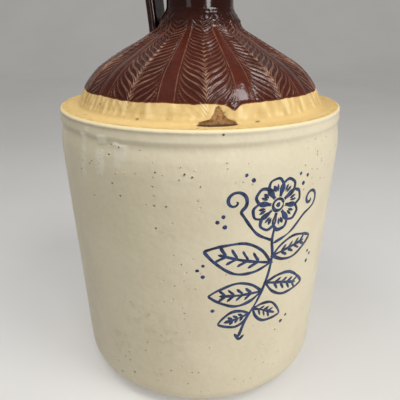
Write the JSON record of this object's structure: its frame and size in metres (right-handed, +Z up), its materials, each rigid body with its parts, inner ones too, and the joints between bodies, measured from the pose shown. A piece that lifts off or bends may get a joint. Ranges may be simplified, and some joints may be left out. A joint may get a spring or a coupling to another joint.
{
  "type": "stoneware jug",
  "caption": "Stoneware jug with a slightly tapering glazed body, a flat ledge, a domed shoulder moulded with leaves, a narrow neck with a rolled lip and a strap handle.",
  "frame": {"origin": "centre of the base, on the surface that the jug stands on", "axes": "+Z up along the turning axis; the handle stands on the -X side and is symmetric about the XZ plane"},
  "size_m": [0.1792, 0.1792, 0.2728],
  "materials": {
    "white_glaze": "glossy cream-white glaze with small dark pits",
    "brown_glaze": "glossy dark red-brown glaze, thinner and paler on raised edges",
    "bare_stoneware": "bare buff stoneware, matte",
    "cobalt_line": "cobalt-blue line under the glaze"
  },
  "bodies": {
    "root": {"jug": "white_glaze"}
  },
  "joints": []
}
